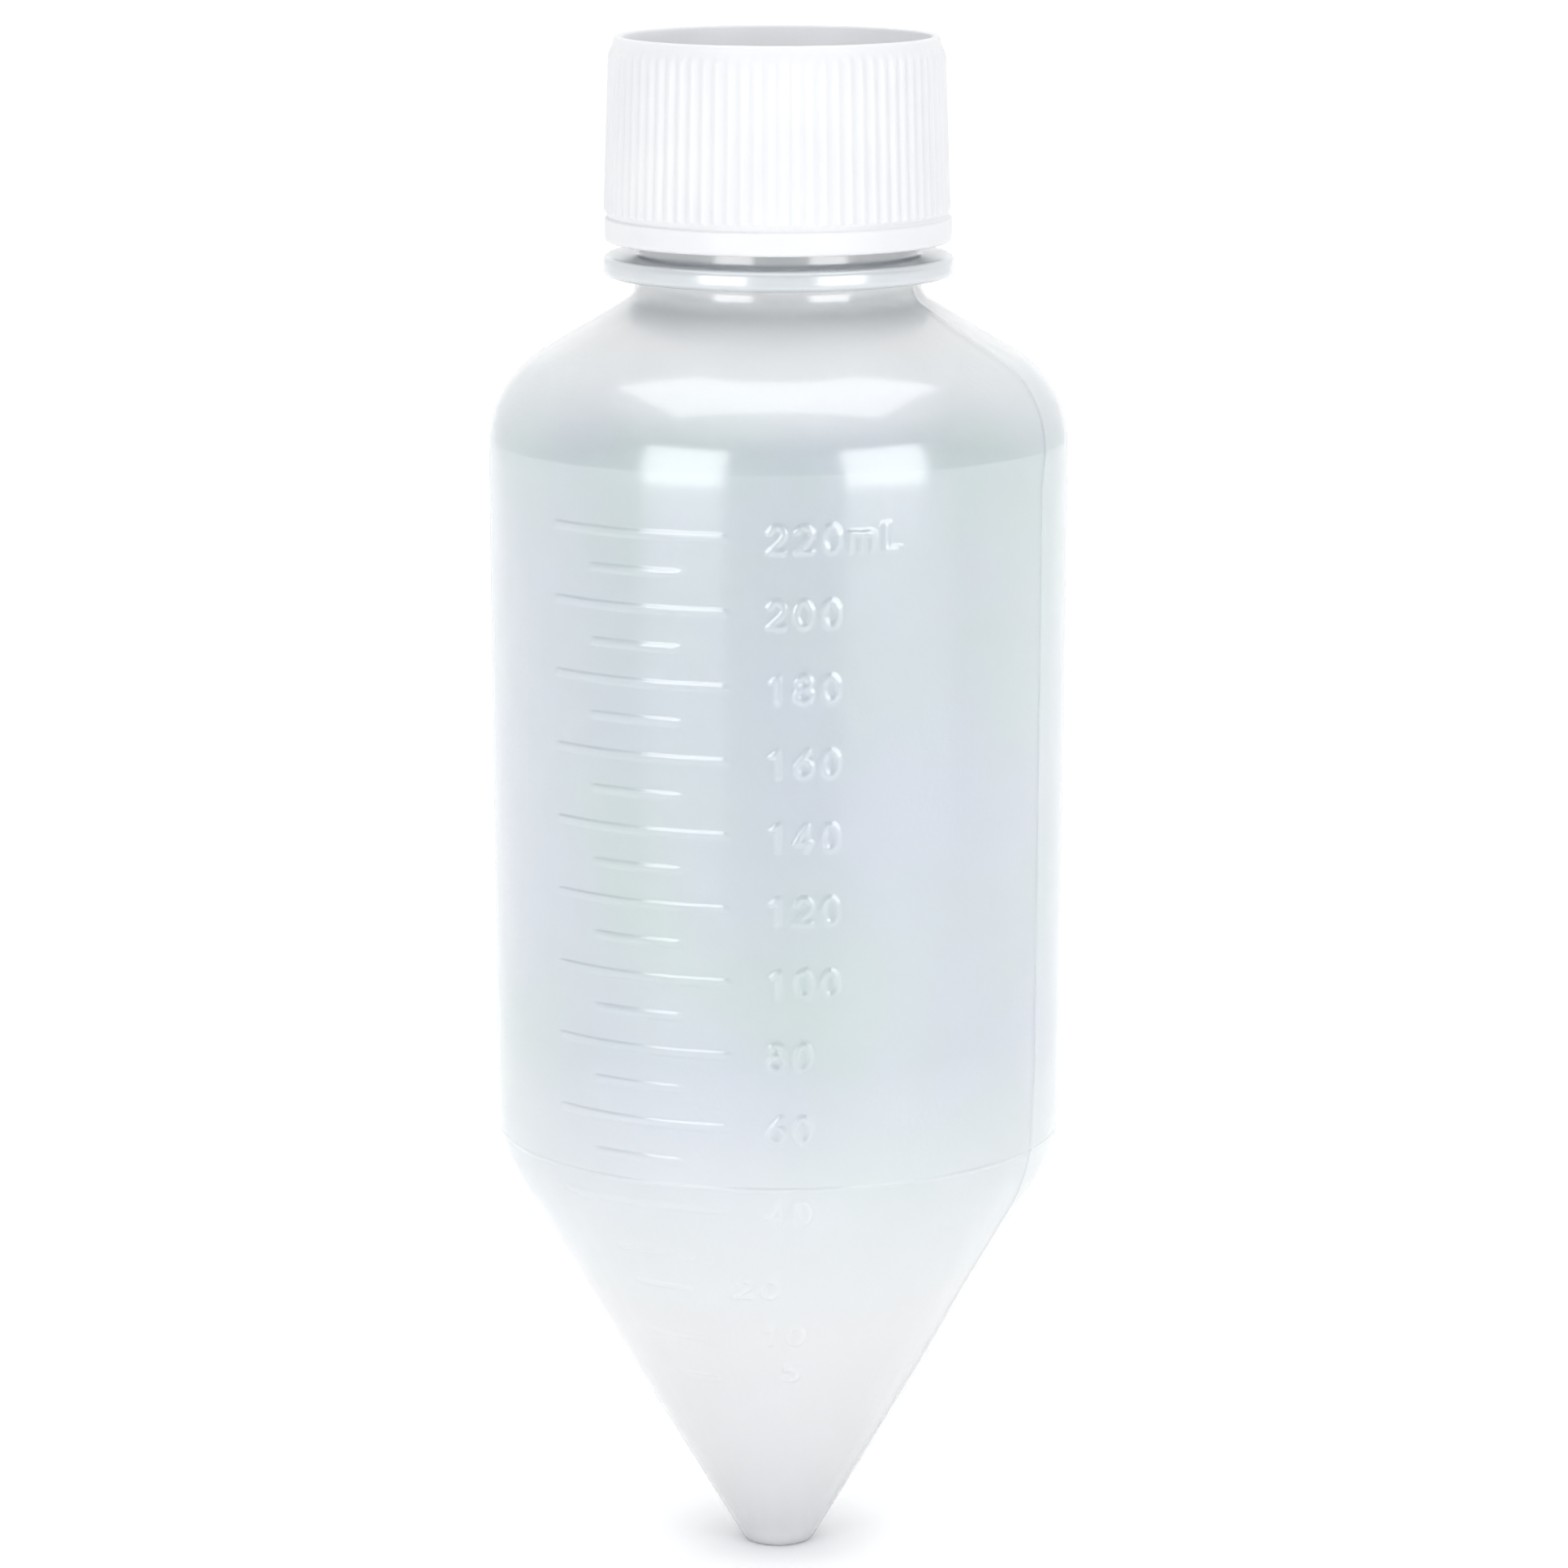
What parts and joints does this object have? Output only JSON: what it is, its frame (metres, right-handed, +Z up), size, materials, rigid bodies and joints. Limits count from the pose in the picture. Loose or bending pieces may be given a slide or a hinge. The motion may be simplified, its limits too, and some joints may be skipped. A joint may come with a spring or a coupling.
{
  "type": "conical-bottom screw-cap bottle",
  "caption": "Translucent plastic laboratory bottle with a conical bottom, a support flange, a raised volume scale and a ribbed white screw cap with a sunk top.",
  "frame": {"origin": "middle of the small flat at the tip of the cone, the bottle's lowest point", "axes": "+Z up the bottle's axis, from the tip to the cap; the volume scale faces -Y"},
  "size_m": [0.061, 0.061, 0.1631],
  "materials": {
    "translucent_polypropylene": "natural milky translucent, satin with a glossy sheen",
    "white_polypropylene": "opaque white, satin",
    "clear_silicone": "soft, cloudy"
  },
  "bodies": {
    "bottle": {"bottle": "translucent_polypropylene"},
    "seal": {"seal_ring": "clear_silicone"},
    "cap": {"screw_cap": "white_polypropylene"}
  },
  "joints": [
    {"name": "cap_lift", "type": "slide", "parent": "bottle", "child": "seal", "axis": [0, 0, 1], "range_m": [0, 0.0189]},
    {"name": "cap_turn", "type": "hinge", "parent": "seal", "child": "cap", "pos_m": [0, 0, 0.14188], "axis": [0, 0, 1], "range_deg": [0, 1620]}
  ],
  "couplings": [
    {"joint": "cap_turn", "follows": "cap_lift", "rad_per_m": 1496}
  ]
}
